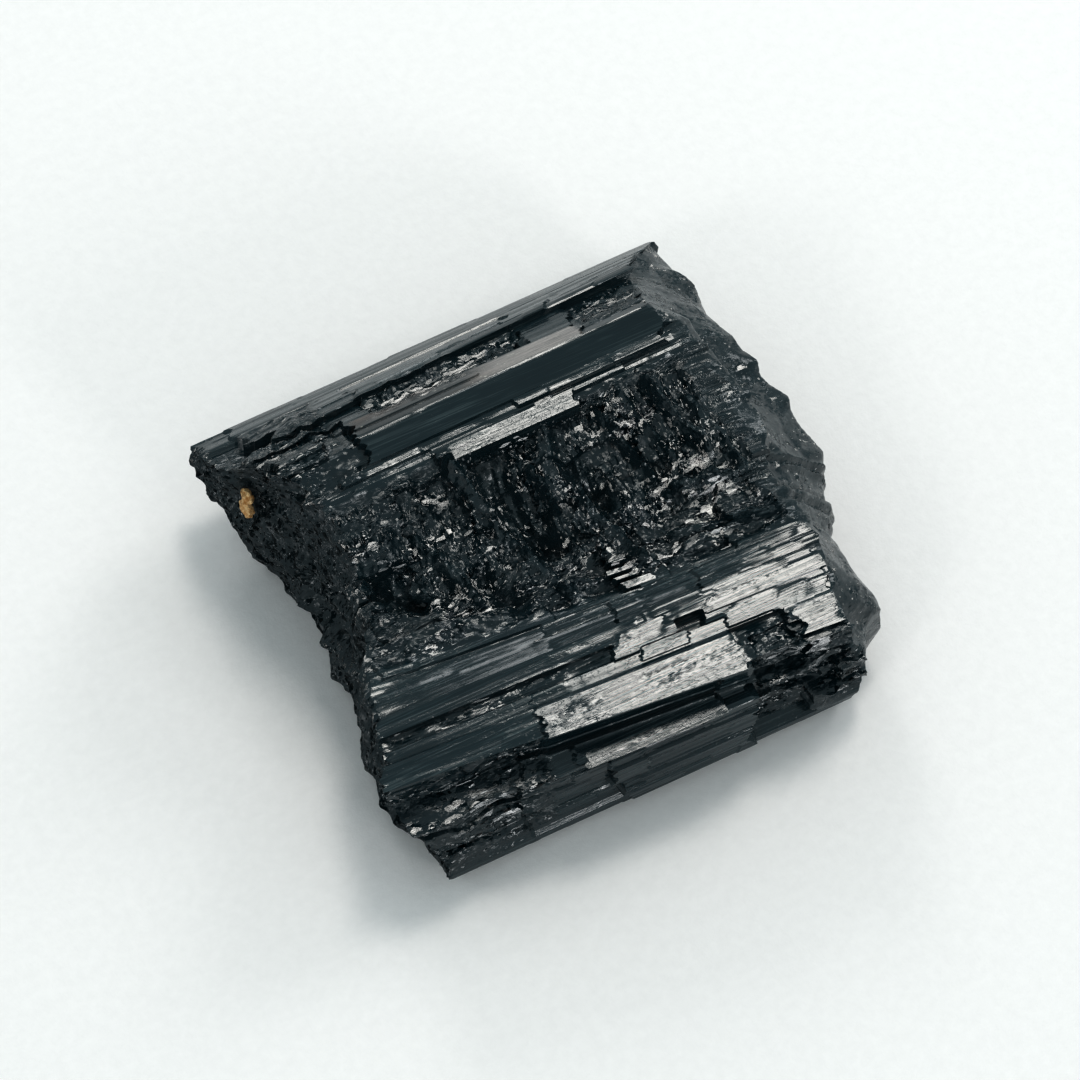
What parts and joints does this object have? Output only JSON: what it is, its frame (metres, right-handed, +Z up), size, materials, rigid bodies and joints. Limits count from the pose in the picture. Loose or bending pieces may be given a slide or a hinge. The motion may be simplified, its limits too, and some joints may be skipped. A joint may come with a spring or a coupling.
{
  "type": "black tourmaline crystal",
  "caption": "Rough broken crystal of black tourmaline: a bundle of long ribbed laths with fractured ends, lying on its side on a flat face.",
  "frame": {"origin": "under the middle of the crystal's box, on the surface that it rests on", "axes": "+X along the crystal's long ribs, towards the right end in the picture; +Y towards the thin back edge; +Z up"},
  "size_m": [0.048, 0.0446, 0.0202],
  "materials": {
    "black_tourmaline": "glassy blue-black, ribbed along its length and sparkling where it is broken",
    "tan_mineral": "matte ochre to cream, granular"
  },
  "bodies": {
    "root": {"tourmaline_crystal": "black_tourmaline", "tan_mineral_fleck": "tan_mineral"}
  },
  "joints": []
}
